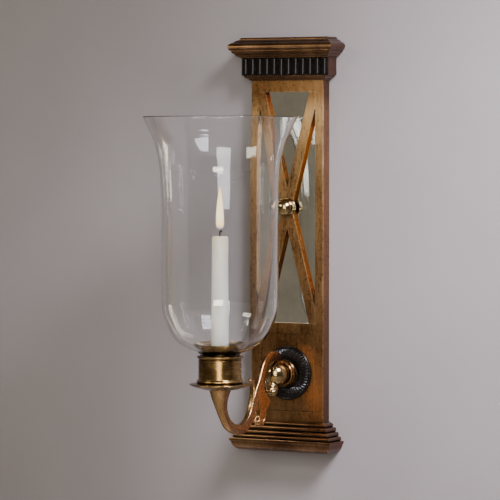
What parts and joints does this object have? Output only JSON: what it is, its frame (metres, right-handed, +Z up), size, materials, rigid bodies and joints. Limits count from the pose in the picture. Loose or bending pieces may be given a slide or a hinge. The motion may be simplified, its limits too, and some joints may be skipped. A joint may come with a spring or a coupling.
{
  "type": "wall sconce candle holder",
  "caption": "Mirror-backed brass pilaster wall sconce with crossed bars, one scrolled arm and a candle in a lift-off hurricane glass.",
  "frame": {"origin": "centre of the two wall screws, on the wall side of the wall bracket", "axes": "+X to the right as seen from the room, +Y into the wall, +Z up; the candle is on the -Y side"},
  "size_m": [0.1916, 0.2818, 0.5332],
  "materials": {
    "bronze": "antique bronze, hand rubbed, satin",
    "polished_brass": "polished antique brass",
    "cup_brass": "turned antique brass with fine circular brushing",
    "ebonised": "black ebonised, glossy",
    "mirror": "silvered plate glass",
    "clear_glass": "clear blown glass",
    "wax": "white candle wax, softly translucent",
    "wick": "charred cotton",
    "felt": "green felt",
    "steel": "black lacquered sheet steel",
    "screw_steel": "zinc-plated steel"
  },
  "bodies": {
    "bracket": {"wall_bracket": "steel"},
    "shade": {"glass_shade": "clear_glass"},
    "insert": {"candle_dish": "cup_brass", "insert_sleeve": "cup_brass", "candle_socket": "cup_brass"},
    "candle": {"candle": "wax", "wick": "wick"},
    "sconce": {"pilaster_case": "bronze", "lattice_bar_front": "bronze", "lattice_bar_rear": "bronze", "lattice_finial": "polished_brass", "finial_ring": "polished_brass", "mirror_glass": "mirror", "mirror_felt": "felt", "back_plate": "steel", "back_plate_screws": "screw_steel", "hanger_plate": "steel", "hanger_rivets": "screw_steel", "wall_pads": "felt", "cornice": "bronze", "cornice_cap": "bronze", "frieze_block": "bronze", "frieze_reeds": "ebonised", "neck_moulding": "bronze", "base_steps": "bronze", "base_foot": "bronze", "bottom_cap": "bronze", "plinth_panel": "bronze", "panel_lugs": "steel", "rosette_ring": "ebonised", "wall_boss": "polished_brass", "boss_ball": "polished_brass", "arm_stud": "screw_steel", "arm_washer": "screw_steel", "arm_nut": "screw_steel", "scroll_arm": "bronze", "pendant_leaf": "bronze", "thumb_leaf": "bronze", "leaf_scroll": "polished_brass", "drip_plate": "cup_brass", "shade_cup": "cup_brass", "cup_screw": "screw_steel", "cup_gasket": "felt"}
  },
  "joints": [
    {"name": "sconce_hang", "type": "slide", "parent": "bracket", "child": "sconce", "axis": [0, 0, 1], "range_m": [0, 0.012]},
    {"name": "shade_lift", "type": "slide", "parent": "sconce", "child": "shade", "axis": [0, 0, 1], "range_m": [0, 0.06]},
    {"name": "insert_lift", "type": "slide", "parent": "shade", "child": "insert", "axis": [0, 0, 1], "range_m": [0, 0.33]},
    {"name": "candle_lift", "type": "slide", "parent": "insert", "child": "candle", "axis": [0, 0, 1], "range_m": [0, 0.32]}
  ]
}
